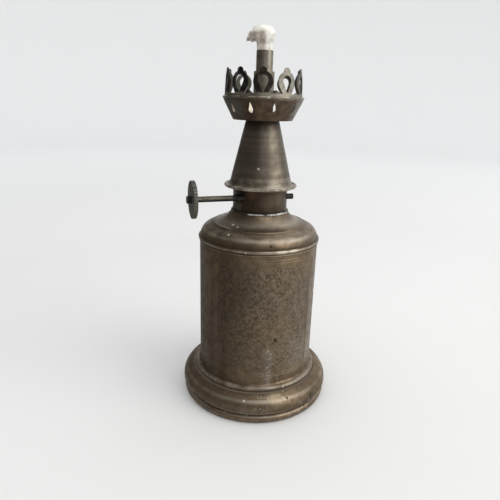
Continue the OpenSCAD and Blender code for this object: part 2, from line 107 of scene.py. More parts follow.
class Shader:
    """Builds one node material. Each method adds nodes and returns their output socket."""

    def __init__(self, name):
        self.material = bpy.data.materials.new(name)
        self.material.use_nodes = True
        self.tree = self.material.node_tree
        self.surface = self.tree.nodes["Principled BSDF"]
        self.place = self.add("ShaderNodeTexCoord").outputs["Object"]
        split = self.add("ShaderNodeSeparateXYZ", {"Vector": self.place})
        self.x, self.y, self.z = split.outputs
        flat = self.add("ShaderNodeVectorMath", operation="MULTIPLY")
        self.feed(flat.inputs[0], self.place)
        flat.inputs[1].default_value = (1.0, 1.0, 0.0)
        length = self.add("ShaderNodeVectorMath", operation="LENGTH")
        self.feed(length.inputs[0], flat.outputs[0])
        self.r = length.outputs["Value"]

    def add(self, kind, inputs=None, **settings):
        node = self.tree.nodes.new(kind)
        for key, value in settings.items():
            setattr(node, key, value)
        for key, value in (inputs or {}).items():
            self.feed(node.inputs[key], value)
        return node

    def feed(self, socket, value):
        if isinstance(value, bpy.types.NodeSocket):
            self.tree.links.new(value, socket)
        else:
            socket.default_value = value

    def math(self, operation, a, b=0.0, c=0.0, clamp=False):
        node = self.add("ShaderNodeMath", operation=operation, use_clamp=clamp)
        for socket, value in zip(node.inputs, (a, b, c)):
            self.feed(socket, value)
        return node.outputs[0]

    def noise(self, scale, detail=3.0, roughness=0.5, stretch=(1, 1, 1), shift=0.0):
        mapping = self.add(
            "ShaderNodeMapping", {"Vector": self.place, "Scale": stretch, "Location": (shift,) * 3}
        )
        inputs = {"Vector": mapping.outputs[0], "Scale": scale, "Detail": detail, "Roughness": roughness}
        return self.add("ShaderNodeTexNoise", inputs).outputs[0]

    def cells(self, scale, shift=0.0, feature="F1"):
        mapping = self.add("ShaderNodeMapping", {"Vector": self.place, "Location": (shift,) * 3})
        inputs = {"Vector": mapping.outputs[0], "Scale": scale}
        return self.add("ShaderNodeTexVoronoi", inputs, feature=feature).outputs["Distance"]

    def ramp(self, value, low, high, to_low=0.0, to_high=1.0):
        inputs = {"Value": value, "From Min": low, "From Max": high, "To Min": to_low, "To Max": to_high}
        return self.add("ShaderNodeMapRange", inputs, interpolation_type="SMOOTHSTEP").outputs[0]

    def mix(self, share, a, b, blend="MIX"):
        node = self.add("ShaderNodeMix", data_type="RGBA", blend_type=blend)
        self.feed(node.inputs[0], share)
        self.feed(node.inputs[6], a)
        self.feed(node.inputs[7], b)
        return node.outputs[2]

    def band(self, centre, half_width, soft=1.0):
        """1 at a height, falling to 0 at half_width from it, in millimetres."""
        away = self.math("ABSOLUTE", self.math("SUBTRACT", self.z, centre * MM))
        return self.ramp(away, half_width * (1 - soft) * MM, half_width * MM, 1.0, 0.0)

    def ring(self, r, z, half_width):
        """1 on a circle round the lamp's axis, falling to 0 at half_width from it, in millimetres."""
        out = self.math("SUBTRACT", self.r, r * MM)
        up = self.math("SUBTRACT", self.z, z * MM)
        square = self.math("MULTIPLY_ADD", out, out, self.math("MULTIPLY", up, up))
        return self.ramp(self.math("SQRT", square), 0.0, half_width * MM, 1.0, 0.0)

    def spot(self, point, radius, flat=1.0):
        """1 near a point, ragged at its edge. flat below 1 makes the spot taller than wide."""
        moved = self.add("ShaderNodeVectorMath", operation="SUBTRACT")
        self.feed(moved.inputs[0], self.place)
        moved.inputs[1].default_value = [v * MM for v in point]
        scaled = self.add("ShaderNodeVectorMath", operation="MULTIPLY")
        self.feed(scaled.inputs[0], moved.outputs[0])
        scaled.inputs[1].default_value = (1.0, 1.0, flat)
        length = self.add("ShaderNodeVectorMath", operation="LENGTH")
        self.feed(length.inputs[0], scaled.outputs[0])
        ragged = self.math("MULTIPLY_ADD", self.noise(900, 2), radius * 0.9 * MM, length.outputs["Value"])
        return self.ramp(ragged, radius * 0.9 * MM, radius * 1.6 * MM, 1.0, 0.0)

    def stain(self, point, half_width, half_height, shift):
        """Patchy upright stain on the front of the wall."""
        along = self.math("ABSOLUTE", self.math("SUBTRACT", self.x, point[0] * MM))
        wander = self.math("MULTIPLY", self.noise(160, 2, 0.5, (0, 0, 1), shift), half_width * 1.2 * MM)
        side = self.ramp(self.math("SUBTRACT", along, wander), -0.3 * half_width * MM, 0.5 * half_width * MM, 1.0, 0.0)
        height = self.band(point[2], half_height, 0.8)
        front = self.ramp(self.y, point[1] * MM * 0.9, point[1] * MM * 0.8, 1.0, 0.0)
        film = self.ramp(self.noise(240, 3, 0.6, shift=shift), 0.34, 0.60, 0.05, 0.62)
        specks = self.ramp(self.cells(1150, shift), 0.14, 0.40, 0.9, 0.0)
        crust = self.math("MAXIMUM", film, specks)
        return self.math("MULTIPLY", self.math("MULTIPLY", side, height), self.math("MULTIPLY", front, crust))

    def cloud(self, point, radius):
        """1 near a point, with a soft edge."""
        moved = self.add("ShaderNodeVectorMath", operation="DISTANCE")
        self.feed(moved.inputs[0], self.place)
        moved.inputs[1].default_value = [v * MM for v in point]
        return self.ramp(moved.outputs["Value"], radius * 0.25 * MM, radius * MM, 1.0, 0.0)

    def most(self, values):
        total = values[0]
        for value in values[1:]:
            total = self.math("MAXIMUM", total, value)
        return total

    def bump(self, height, distance, strength=1.0, normal=None):
        inputs = {"Height": height, "Distance": distance * MM, "Strength": strength}
        if normal is not None:
            inputs["Normal"] = normal
        return self.add("ShaderNodeBump", inputs).outputs[0]

    def finish(self, colour, roughness, normal, metallic):
        self.feed(self.surface.inputs["Base Color"], colour)
        self.feed(self.surface.inputs["Roughness"], roughness)
        self.feed(self.surface.inputs["Normal"], normal)
        self.feed(self.surface.inputs["Metallic"], metallic)
        return self.material


def patina(
    name, base, warm, dark, worn=(0.36, 0.31, 0.24, 1), crests=(), grooves=(),
    pits=(), pale=(), stains=(), rough=0.42, metallic=0.88, dents=0.25, streaks=0.0, panel=False, bright_inside=False, spun=0.0,
    rubbed=(), metre=1.0, grime_share=0.55, dust=(), clouds=(), soil=(), mottled=0.55, speckled=(),
):
    """Old brass. crests are patchy worn rings, rubbed even ones and dust pale dull ones. Dark rings paint shade into
    creases, under beads and ledges and under the cup.

    Pits and pale marks lie at points, and clouds are soft patches of a colour; some clouds are painted highlights and
    some painted shade. Pale rings of dust are painted to lift the shade in creases, and the cup's inside can be
    painted pale as if lit.
    """
    s = Shader(name)
    broad = s.ramp(s.noise(42 * metre, 4, 0.55), 0.36, 0.66)
    mottle = s.ramp(s.noise(260 * metre, 5, 0.62, shift=3.1), 0.34, 0.70)
    grain = s.noise(1500, 3, 0.6, shift=1.7)
    colour = s.mix(broad, base, warm)
    colour = s.mix(s.math("MULTIPLY", mottle, mottled), colour, dark)
    if streaks:
        # Darker upright streaks.
        runs = s.ramp(s.noise(110, 3, 0.55, (1, 1, 0.07), 5.3), 0.44, 0.68)
        colour = s.mix(s.math("MULTIPLY", runs, streaks), colour, dark)
    fleck = s.ramp(s.cells(300, 2.2), 0.05, 0.16, 1.0, 0.0)
    rare = s.ramp(s.noise(90, 2, 0.5, shift=8.0), 0.60, 0.68)
    colour = s.mix(s.math("MULTIPLY", s.math("MULTIPLY", fleck, rare), 0.5), colour, worn)
    if crests:
        wear = s.most([s.ring(*crest) for crest in crests])
        patchy = s.ramp(s.noise(120, 4, 0.6, shift=6.0), 0.30, 0.62)
        colour = s.mix(s.math("MULTIPLY", s.math("MULTIPLY", wear, patchy), 0.75), colour, worn)
    if rubbed:
        bare = s.most([s.ring(*edge) for edge in rubbed])
        colour = s.mix(s.math("MULTIPLY", bare, 0.65), colour, worn)
    # Painted shade: dark rings in creases, under beads and ledges and under the cup.
    if grooves:
        grime = s.most([s.ring(*groove) for groove in grooves])
        colour = s.mix(s.math("MULTIPLY", grime, grime_share), colour, (0.030, 0.023, 0.017, 1))
    for point, radius, tint, share in clouds:
        colour = s.mix(s.math("MULTIPLY", s.cloud(point, radius), share), colour, tint)
    pocks = s.math("MULTIPLY", s.ramp(s.cells(420, 6.1), 0.06, 0.16, 1.0, 0.0), s.ramp(s.noise(75, 2, 0.5, shift=2.0), 0.5, 0.62))
    colour = s.mix(s.math("MULTIPLY", pocks, 0.6), colour, (0.030, 0.023, 0.017, 1))
    if pale:
        marks = s.most([s.spot(p, r, f) for p, r, f in pale])
        colour = s.mix(s.math("MULTIPLY", marks, 0.85), colour, (0.52, 0.49, 0.42, 1))
        metallic = s.math("MULTIPLY", s.math("MULTIPLY_ADD", marks, -0.8, 1.0), metallic)
    if speckled:
        near = s.most([s.cloud(point, radius) for point, radius in speckled])
        crumbs = s.ramp(s.cells(820, 7.3), 0.14, 0.34, 1.0, 0.0)
        crumbs = s.math("MULTIPLY", crumbs, s.ramp(s.noise(330, 2, 0.5, shift=6.6), 0.42, 0.58))
        colour = s.mix(s.math("MULTIPLY", s.math("MULTIPLY", near, crumbs), 0.8), colour, (0.50, 0.46, 0.37, 1))
    if stains:
        marks = s.most([s.stain(p, w, h, shift) for p, w, h, shift in stains])
        colour = s.mix(s.math("MULTIPLY", marks, 0.85), colour, (0.46, 0.42, 0.36, 1))
    # Painted light: the cup's inside is made pale, as if lit from above.
    if bright_inside:
        wall_r = s.math("MULTIPLY_ADD", s.z, CUP_SLOPE, (CUP_RIM_R - CUP_SLOPE * CUP_WALL_Z) * MM)
        depth = s.math("SUBTRACT", wall_r, s.r)
        inside = s.math("MULTIPLY", s.ramp(depth, 0.30 * MM, 0.42 * MM), s.ramp(s.z, 145.0 * MM, 145.1 * MM))
        colour = s.mix(inside, colour, (0.50, 0.45, 0.355, 1))
    height = s.math("MULTIPLY", grain, 0.02)
    if pits:
        holes = s.most([s.spot(p, r, f) for p, r, f in pits])
        colour = s.mix(s.math("MULTIPLY", holes, 0.95), colour, (0.012, 0.010, 0.008, 1))
        height = s.math("SUBTRACT", height, s.math("MULTIPLY", holes, 0.35))
    if spun:
        rings = s.add("ShaderNodeCombineXYZ", {"X": s.math("MULTIPLY", s.r, 0.6), "Z": s.z}).outputs[0]
        lines = s.add("ShaderNodeTexNoise", {"Vector": rings, "Scale": 330.0, "Detail": 3.0}).outputs[0]
        colour = s.mix(s.ramp(lines, 0.40, 0.62, 0.0, spun), colour, dark)
        height = s.math("ADD", height, s.math("MULTIPLY", lines, 0.05))
    scratch = s.ramp(s.noise(170, 2, 0.4, (1, 1, 9), 4.4), 0.600, 0.612)
    scratch = s.math("MULTIPLY", scratch, s.ramp(s.noise(60, 1, 0.4, shift=9.0), 0.5, 0.62))
    height = s.math("SUBTRACT", height, s.math("MULTIPLY", scratch, 0.04))
    if panel:
        mask = panel_mask(s)
        fade = s.ramp(s.noise(55, 3, 0.5, shift=7.7), 0.30, 0.62, 0.55, 0.95)
        share = s.math("MULTIPLY", mask, fade)
        rough_skin = s.ramp(s.noise(640, 4, 0.62, shift=0.4), 0.40, 0.62)
        grit = s.ramp(s.noise(1100, 4, 0.7, shift=2.4), 0.38, 0.66)
        skin = s.math("ADD", s.math("MULTIPLY", rough_skin, 0.6), s.math("MULTIPLY", grit, 0.4))
        hollow = s.math("MULTIPLY", share, s.math("SUBTRACT", 1.0, skin))
        colour = s.mix(s.math("MULTIPLY", hollow, 0.66), colour, (0.038, 0.027, 0.018, 1))
        colour = s.mix(s.math("MULTIPLY", s.math("MULTIPLY", share, skin), 0.24), colour, worn)
        # Painted shade: the panel darkens towards its left, the side away from the light.
        colour = s.mix(s.ramp(s.x, -22 * MM, -2 * MM, 0.32, 0.0), colour, dark)
        # Darker towards the bottom of the panel, in upright streaks.
        low = s.ramp(s.z, 20 * MM, 36 * MM, 1.0, 0.0)
        runs = s.ramp(s.noise(620, 2, 0.5, (1, 1, 0.10), 2.9), 0.52, 0.66)
        colour = s.mix(s.math("MULTIPLY", s.math("MULTIPLY", low, runs), 0.40), colour, dark)
        height = s.math("ADD", height, s.math("MULTIPLY", s.math("MULTIPLY", share, skin), 0.24))
    # Dust, painted pale to lift the shade in the foot's creases.
    if soil:
        packed = s.most([s.ramp(s.ring(*groove), 0.0, 0.7) for groove in soil])
        colour = s.mix(s.math("MULTIPLY", packed, 0.8), colour, (0.20, 0.165, 0.125, 1))
        metallic = s.math("MULTIPLY", s.math("MULTIPLY_ADD", packed, -0.75, 1.0), metallic)
    if dust:
        settled = s.most([s.math("MULTIPLY", s.ramp(s.ring(r, z, w), 0.0, 0.6), part) for r, z, w, part in dust])
        specks = s.ramp(s.cells(950, 1.1), 0.16, 0.36, 1.0, 0.0)
        uneven = s.ramp(s.noise(150, 4, 0.6, shift=4.2), 0.34, 0.60)
        share = s.math("MULTIPLY", settled, s.math("MULTIPLY_ADD", specks, 0.35, s.math("MULTIPLY", uneven, 0.55)))
        colour = s.mix(share, colour, (0.42, 0.38, 0.31, 1))
        metallic = s.math("MULTIPLY", metallic, s.math("MULTIPLY_ADD", share, -0.7, 1.0))
    hammered = s.bump(s.noise(26 * metre, 2, 0.4, shift=0.6), 4.0 * dents)
    normal = s.bump(height, 1.0, 1.0, hammered)
    roughness = s.math("ADD", s.math("MULTIPLY", mottle, 0.16), rough - 0.08)
    return s.finish(colour, roughness, normal, metallic)


def panel_mask(s):
    """1 inside the panel on the wall, fading to 0 at its frame."""
    azimuth = s.math("ARCTAN2", s.y, s.x)
    away = s.math("ABSOLUTE", s.math("SUBTRACT", azimuth, math.radians(PANEL_MID)))
    half = math.radians(PANEL_HALF - 2.5)
    across = s.ramp(away, half - 0.12, half, 1.0, 0.0)
    low = s.ramp(s.z, (PANEL_LOW_Z + 1.2) * MM, (PANEL_LOW_Z + 6.0) * MM)
    high = s.ramp(s.z, (PANEL_HIGH_Z - 6.0) * MM, (PANEL_HIGH_Z - 1.2) * MM, 1.0, 0.0)
    return s.math("MULTIPLY", across, s.math("MULTIPLY", low, high))


def cotton():
    """Pale cotton, brown on the lobe that leans left and in streaks down to the tube: partly singed, partly painted
    shade on the lower left, away from the light.
    """
    s = Shader("cotton_fibres")
    across = s.add("ShaderNodeVectorMath", operation="DOT_PRODUCT")
    s.feed(across.inputs[0], s.place)
    across.inputs[1].default_value = LEAN
    left = s.ramp(across.outputs["Value"], -1.6 * MM, 0.6 * MM)
    below = s.ramp(s.z, 182.2 * MM, 184.2 * MM, 1.0, 0.0)
    head = s.math("MULTIPLY", left, below)
    patchy = s.ramp(s.noise(420, 3, 0.6), 0.30, 0.52, 0.35, 1.0)
    streaky = s.ramp(s.noise(700, 2, 0.5, (1, 1, 0.2), 3.0), 0.34, 0.58, 0.12, 0.80)
    in_stalk = s.ramp(s.z, 176.8 * MM, 179.2 * MM, 1.0, 0.0)
    broken = s.math("ADD", s.math("MULTIPLY", streaky, in_stalk), s.math("MULTIPLY", patchy, s.math("SUBTRACT", 1.0, in_stalk)))
    singe = s.math("MULTIPLY", head, broken)
    fibre = s.mix(s.ramp(s.noise(1400, 2), 0.35, 0.65), (0.86, 0.85, 0.79, 1), (0.76, 0.74, 0.66, 1))
    burnt = s.mix(s.ramp(s.noise(900, 2, shift=2.0), 0.4, 0.6), (0.33, 0.275, 0.23, 1), (0.50, 0.43, 0.37, 1))
    colour = s.mix(singe, fibre, burnt)
    s.surface.inputs["Sheen Weight"].default_value = 0.25
    return s.finish(colour, 0.9, s.bump(s.noise(4000, 2), 0.05, 0.6), 0.0)


def plaster():
    s = Shader("plaster_crumbs")
    colour = s.mix(s.ramp(s.noise(900, 4), 0.35, 0.65), (0.66, 0.64, 0.58, 1), (0.36, 0.33, 0.28, 1))
    return s.finish(colour, 0.85, s.bump(s.noise(2200, 4), 0.12), 0.0)


def old_solder():
    """Grey patina all round, with pale old solder showing at the front: a thin line, then broken lumps."""
    s = Shader("old_solder")
    azimuth = s.math("ARCTAN2", s.y, s.x)
    away = s.math("ABSOLUTE", s.math("SUBTRACT", azimuth, math.radians(-116)))
    line = s.ramp(away, math.radians(12), math.radians(19), 0.8, 0.0)
    away = s.math("ABSOLUTE", s.math("SUBTRACT", azimuth, math.radians(-69)))
    broken = s.ramp(away, math.radians(20), math.radians(26), 1.0, 0.0)
    lumps = s.ramp(s.noise(560, 3, 0.6), 0.44, 0.52)
    share = s.math("ADD", line, s.math("MULTIPLY", broken, lumps))
    mottle = s.ramp(s.noise(700, 4, 0.6, shift=3.0), 0.35, 0.60, 0.55, 1.0)
    share = s.math("MULTIPLY", share, mottle, clamp=True)
    colour = s.mix(share, (0.040, 0.034, 0.027, 1), (0.60, 0.58, 0.53, 1))
    return s.finish(colour, 0.62, s.bump(s.noise(1100, 3), 0.10), 0.35)


def blackened(name, roughness=0.38):
    s = Shader(name)
    colour = s.mix(s.ramp(s.noise(700, 4), 0.35, 0.65), (0.009, 0.009, 0.009, 1), (0.030, 0.028, 0.025, 1))
    return s.finish(colour, roughness, s.bump(s.noise(1300, 3), 0.06), 0.6)


def shaft_finish():
    """Painted highlight along its top side outside the gland, with painted shade below it; black beside the gland and
    at the stub.
    """
    s = Shader("spindle_patina")
    mottle = s.ramp(s.noise(520, 4, 0.6), 0.34, 0.66)
    worn = s.mix(mottle, (0.165, 0.150, 0.118, 1), (0.085, 0.074, 0.057, 1))
    grime = s.mix(mottle, (0.022, 0.019, 0.016, 1), (0.050, 0.044, 0.036, 1))
    # Painted highlight: the top side outside the gland is lighter, as lit.
    upper = s.ramp(s.z, 107.7 * MM, 108.5 * MM)
    crest = s.ramp(s.z, 109.2 * MM, 109.6 * MM, 1.0, 0.35)
    outside = s.ramp(s.x, -17.6 * MM, -15.8 * MM, 1.0, 0.0)
    share = s.math("MULTIPLY", s.math("MULTIPLY", upper, crest), outside)
    rubbed = s.math("MULTIPLY", share, s.ramp(s.noise(240, 3, 0.5, (0.5, 1, 1), 6.0), 0.28, 0.50, 0.35, 1.0))
    return s.finish(s.mix(rubbed, grime, worn), 0.5, s.bump(s.noise(1300, 3), 0.05), 0.75)


def crown_finish():
    """Sooty leaves, darkest at the left, where the darkness is partly painted shade. Painted light makes the one at
    the front right pale, and the back leaves, seen from inside, lighter.
    """
    s = Shader("crown_patina")
    mottle = s.ramp(s.noise(420, 5, 0.62), 0.34, 0.68)
    across = s.add("ShaderNodeVectorMath", operation="DOT_PRODUCT")
    s.feed(across.inputs[0], s.place)
    across.inputs[1].default_value = -LEAN
    near = s.add("ShaderNodeVectorMath", operation="DOT_PRODUCT")
    s.feed(near.inputs[0], s.place)
    near.inputs[1].default_value = turned((0, -1, 0))
    x, y = across.outputs["Value"], near.outputs["Value"]
    front = s.ramp(y, -2.0 * MM, 2.0 * MM)
    right = s.math("MULTIPLY", s.ramp(x, 5.0 * MM, 6.5 * MM), s.ramp(x, 15.0 * MM, 16.5 * MM, 1.0, 0.0))
    # Painted light: the front right leaf is pale.
    worn = s.math("MULTIPLY", s.math("MULTIPLY", front, right), s.ramp(s.z, 155.4 * MM, 157.0 * MM))
    middle = s.ramp(x, -5.5 * MM, -3.0 * MM)
    dark = s.mix(mottle, (0.040, 0.037, 0.034, 1), (0.016, 0.015, 0.014, 1))
    brown = s.mix(mottle, (0.044, 0.036, 0.030, 1), (0.020, 0.016, 0.013, 1))
    pale = s.mix(mottle, (0.25, 0.235, 0.20, 1), (0.15, 0.14, 0.115, 1))
    inner = s.mix(mottle, (0.20, 0.18, 0.145, 1), (0.10, 0.088, 0.070, 1))
    colour = s.mix(worn, s.mix(middle, dark, brown), pale)
    # Painted light: the back leaves, seen from inside, are lighter.
    colour = s.mix(front, inner, colour)
    band = s.ramp(s.ring(18.6, 155.6, 1.9), 0.0, 0.6)
    uneven = s.ramp(s.noise(190, 3, 0.6, shift=5.0), 0.34, 0.60, 0.55, 0.9)
    colour = s.mix(s.math("MULTIPLY", band, uneven), colour, (0.27, 0.245, 0.20, 1))
    scratch = s.ramp(s.noise(260, 2, 0.4, (1, 1, 0.25), 4.4), 0.600, 0.612)
    colour = s.mix(s.math("MULTIPLY", scratch, 0.35), colour, (0.30, 0.27, 0.22, 1))
    normal = s.bump(s.noise(900, 3), 0.05)
    return s.finish(colour, 0.46, normal, 0.85)


def leather():
    s = Shader("oiled_leather")
    colour = s.mix(s.ramp(s.noise(500, 4), 0.35, 0.65), (0.018, 0.013, 0.010, 1), (0.042, 0.030, 0.021, 1))
    return s.finish(colour, 0.7, s.bump(s.cells(1800), 0.06), 0.0)


def felt():
    s = Shader("soaked_felt")
    colour = s.mix(s.ramp(s.noise(600, 5), 0.3, 0.7), (0.20, 0.17, 0.13, 1), (0.36, 0.32, 0.26, 1))
    return s.finish(colour, 0.95, s.bump(s.noise(2500, 4), 0.2), 0.0)


BASE = (0.182, 0.138, 0.096, 1)
WARM = (0.200, 0.145, 0.090, 1)
DARK = (0.068, 0.046, 0.028, 1)
GREY = (0.150, 0.128, 0.098, 1)
GREY_WARM = (0.165, 0.137, 0.096, 1)
GREY_DARK = (0.062, 0.052, 0.040, 1)
TUBE = (0.235, 0.212, 0.168, 1)
TUBE_WARM = (0.240, 0.208, 0.152, 1)
TUBE_LIGHT = (0.290, 0.265, 0.215, 1)
UMBER = (0.088, 0.062, 0.042, 1)
UMBER_WARM = (0.110, 0.074, 0.045, 1)
UMBER_DARK = (0.028, 0.020, 0.014, 1)
SOOT = (0.110, 0.098, 0.080, 1)
SOOT_WARM = (0.125, 0.105, 0.078, 1)
SOOT_DARK = (0.022, 0.020, 0.017, 1)

WALL_PITS = [
    ((-0.1, -30.3, 41.6), 1.05, 0.8), ((-1.1, -30.3, 40.2), 0.60, 1), ((1.2, -30.2, 40.4), 0.45, 1),
    ((2.7, -30.2, 38.9), 0.65, 1.8), ((5.0, -29.9, 62.3), 0.55, 1), ((2.6, -30.2, 66.1), 0.50, 0.6),
]
WALL_PALE = [
    ((-3.2, -30.1, 35.9), 0.55, 0.7), ((-1.9, -30.2, 34.1), 0.45, 1), ((-3.3, -30.1, 26.9), 0.40, 0.6),
    ((-4.6, -30.0, 20.2), 0.40, 1), ((19.6, -23.1, 55.0), 0.35, 0.5),
]
WALL_STAINS = [
    ((-3.1, -30.1, 33.0), 2.2, 6.5, 1.3), ((-3.1, -30.2, 25.0), 1.9, 8.0, 7.9), ((-3.4, -30.1, 20.0), 2.2, 4.5, 4.1),
]
# A dark patina patch high on the panel, and pale patches at the lower right that are a painted highlight.
WALL_CLOUDS = [
    ((-16.7, -25.3, 64.0), 15.0, DARK, 0.35), ((12.5, -27.6, 33.0), 15.0, (0.27, 0.23, 0.17, 1), 0.45),
    ((22.0, -21.0, 30.0), 12.0, (0.27, 0.23, 0.17, 1), 0.30),
]
BEAD_CLOUDS = [
    ((1.0, -31.6, 87.5), 4.5, (0.52, 0.47, 0.38, 1), 0.8), ((7.5, -30.8, 87.5), 4.0, (0.52, 0.47, 0.38, 1), 0.8),
    ((-6.0, -31.1, 87.5), 6.0, (0.36, 0.31, 0.24, 1), 0.6),
]
# A darker patch over the right of the foot, and a golden painted highlight at the front of the moulding.
FOOT_CLOUDS = [((19.0, -32.0, 13.0), 17.0, DARK, 0.5), ((-1.2, -37.4, 13.8), 6.0, (0.40, 0.33, 0.21, 1), 0.5)]
# Pale patches at the collar's left and right edges and a sheen at its front are painted light; the reddish patch is a
# copper tint.
COLLAR_CLOUDS = [
    ((-12.9, -1.5, 108.0), 5.0, (0.17, 0.15, 0.115, 1), 0.8), ((-12.6, -5.2, 104.0), 3.4, (0.15, 0.13, 0.10, 1), 0.6),
    ((11.6, -7.0, 108.0), 5.5, (0.13, 0.11, 0.085, 1), 0.6), ((-8.0, -10.9, 110.6), 3.4, (0.19, 0.095, 0.060, 1), 0.5),
    ((-0.8, -13.5, 106.6), 5.2, (0.115, 0.090, 0.062, 1), 0.6), ((6.0, -12.2, 107.4), 5.2, (0.130, 0.104, 0.074, 1), 0.6),
]
FOOT_PALE = [
    ((-16.3, -33.7, 12.2), 0.60, 0.7), ((4.7, -32.3, 15.9), 0.55, 0.7), ((4.1, -33.9, 14.1), 0.40, 0.6),
    ((3.1, -36.7, 12.7), 0.45, 0.6), ((-14.9, -34.2, 4.1), 0.45, 1), ((-24.6, -28.8, 3.9), 0.40, 1),
    ((-5.6, -38.4, 9.6), 0.30, 0.6), ((-9.6, -37.6, 9.0), 0.25, 1),
]
FOOT_PITS = [
    ((5.3, -36.9, 12.0), 0.45, 0.4), ((19.5, -34.0, 9.2), 0.70, 0.4), ((15.8, -34.3, 4.0), 0.5, 1.2),
]
DOME_PALE = [((-16.7, -10.1, 96.0), 0.75, 1), ((-15.5, -13.5, 95.5), 0.60, 1), ((-20.7, -16.8, 93.1), 0.75, 1)]
BEAD_PALE = [((-15.3, -26.9, 86.8), 0.55, 1), ((2.2, -31.0, 86.9), 0.60, 1), ((7.3, -29.6, 87.8), 0.55, 1)]
DOME_PITS = [((13.0, -19.7, 94.5), 0.40, 1), ((17.0, -17.3, 94.2), 0.35, 1), ((-4.2, -29.3, 89.8), 0.70, 1)]
FOOT_SPECKS = [((-7.6, -36.9, 11.8), 11.0), ((3.5, -36.0, 13.0), 5.0), ((16.0, -35.0, 7.0), 9.0)]
DOME_SPECKS = [((-19.5, -12.1, 94.8), 8.0)]
# Painted shade darkens the left end of the lip; the other two patches are a mauve tint.
CONE_CLOUDS = [
    ((-16.3, -1.5, 113.9), 7.0, (0.030, 0.027, 0.022, 1), 0.65), ((-6.0, -9.0, 131.0), 9.0, (0.140, 0.106, 0.090, 1), 0.6),
    ((-3.0, -12.0, 123.0), 8.0, (0.140, 0.106, 0.090, 1), 0.5),
]
CUP_CLOUDS = [
    ((-15.8, -6.5, 150.5), 8.0, (0.120, 0.112, 0.098, 1), 0.85), ((14.5, -10.5, 151.0), 9.0, (0.190, 0.175, 0.150, 1), 0.8),
]


